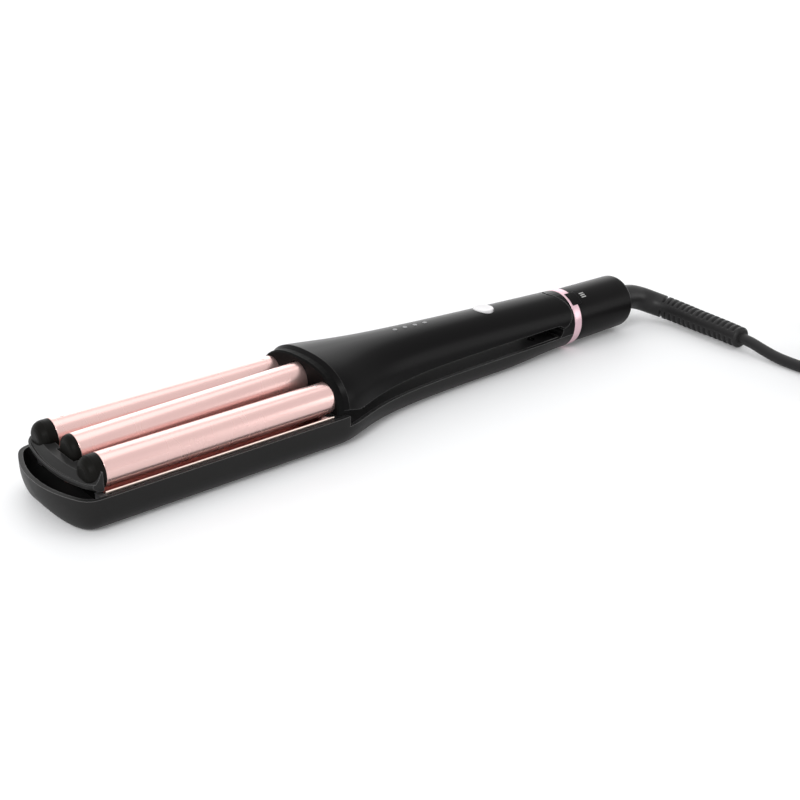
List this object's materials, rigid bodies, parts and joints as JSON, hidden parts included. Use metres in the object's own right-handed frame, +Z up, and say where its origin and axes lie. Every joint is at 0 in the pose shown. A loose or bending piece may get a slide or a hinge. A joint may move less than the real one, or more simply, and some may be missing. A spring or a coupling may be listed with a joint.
{
  "type": "hair waver",
  "caption": "Hair waver with a row of rose-gold barrels over a wavy heated plate, a black handle with a finger slot, and a rear dial that sets how deep the waves are.",
  "frame": {"origin": "on the table, under the middle of the tool between the tray's tip and the dial's rear", "axes": "+X along the tool from the barrels to the dial, +Z up from the table, +Y to the far side in the picture"},
  "size_m": [0.5108, 0.2445, 0.0415],
  "materials": {
    "shell_black": "satin black handle plastic",
    "tray_black": "fine matt black plastic",
    "cover_black": "matt black inner plastic",
    "collar_black": "heat-resistant matt black plastic",
    "cap_black": "heat-resistant matt black plastic",
    "bridge_grey": "satin dark grey plastic",
    "dial_black": "satin black dial plastic",
    "rose_metal": "satin rose-gold anodised",
    "ring_rose": "polished rose gold",
    "button_white": "silver-white button",
    "mark_white": "printed mark",
    "lens": "frosted light pipe",
    "core_grey": "glass-filled plastic",
    "slide_plastic": "natural acetal",
    "carrier_metal": "pressed steel",
    "steel": "bright steel",
    "heater_alu": "mill finish",
    "silicone": "red silicone",
    "wire_sleeve": "braided glass sleeve",
    "board_green": "circuit board",
    "switch_black": "switch body",
    "cord_rubber": "matt black cord sheath",
    "plug_black": "moulded plug",
    "pin_metal": "plug pins"
  },
  "bodies": {
    "lower_arm": {"lower_casing": "tray_black", "lower_inner_cover": "cover_black", "lower_cover_screws": "steel", "wave_plate": "rose_metal", "plate_clips": "carrier_metal", "plate_carrier": "collar_black", "plate_heater": "heater_alu", "plate_cushions": "silicone", "plate_wires": "wire_sleeve", "hinge_block": "shell_black", "core_tube": "core_grey", "hinge_pins": "steel", "hinge_springs": "steel", "swivel_socket": "core_grey", "swivel_ball": "cord_rubber", "detent_ball": "steel", "strain_relief": "cord_rubber", "cord_lead": "cord_rubber", "cord_coil": "cord_rubber", "cord_tail": "cord_rubber", "plug_body": "plug_black", "plug_pins": "pin_metal"},
    "dial": {"trim_ring": "ring_rose", "selector_dial": "dial_black", "dial_mark": "mark_white"},
    "plunger": {"cam_plunger": "slide_plastic"},
    "upper_arm": {"upper_casing": "shell_black", "upper_inner_cover": "cover_black", "upper_cover_screws": "steel", "barrel_collar": "collar_black", "barrel_carrier": "carrier_metal", "outer_barrel_left": "rose_metal", "outer_barrel_right": "rose_metal", "barrel_heater_left": "heater_alu", "barrel_heater_right": "heater_alu", "barrel_cap_left": "cap_black", "barrel_cap_right": "cap_black", "barrel_screws": "steel", "front_bridge": "bridge_grey", "bridge_screws": "steel", "pivot_pin": "steel", "circuit_board": "board_green", "board_screws": "steel", "push_switch": "switch_black", "led_lenses": "lens", "barrel_wires": "wire_sleeve"},
    "middle_barrel": {"middle_barrel": "rose_metal", "middle_heater": "heater_alu", "middle_cap": "cap_black", "middle_tail": "carrier_metal", "lift_roller": "steel"},
    "push_rod": {"push_rod": "slide_plastic"},
    "button": {"power_button": "button_white"}
  },
  "joints": [
    {"name": "jaw_hinge", "type": "hinge", "parent": "lower_arm", "child": "upper_arm", "pos_m": [0.128, 0, 0.026], "axis": [0, 1, 0], "range_deg": [0, 14]},
    {"name": "dial_turn", "type": "hinge", "parent": "lower_arm", "child": "dial", "pos_m": [0.168, 0, 0.017], "axis": [-1, 0, 0], "range_deg": [0, 90]},
    {"name": "plunger_slide", "type": "slide", "parent": "lower_arm", "child": "plunger", "axis": [1, 0, 0], "range_m": [0, 0.008]},
    {"name": "push_rod_slide", "type": "slide", "parent": "upper_arm", "child": "push_rod", "axis": [1, 0, 0], "range_m": [0, 0.008]},
    {"name": "middle_barrel_tilt", "type": "hinge", "parent": "upper_arm", "child": "middle_barrel", "pos_m": [-0.177, 0, 0.0205], "axis": [0, 1, 0], "range_deg": [0, 1.33]},
    {"name": "power_button_press", "type": "slide", "parent": "upper_arm", "child": "button", "axis": [0, 0, -1], "range_m": [0, 0.0006], "stiffness_N_per_m": 1500, "springref_m": -0.0004}
  ],
  "couplings": [
    {"joint": "plunger_slide", "follows": "dial_turn", "m_per_rad": 0.005092},
    {"joint": "push_rod_slide", "follows": "dial_turn", "m_per_rad": 0.005092},
    {"joint": "middle_barrel_tilt", "follows": "dial_turn", "ratio": 0.014777}
  ]
}
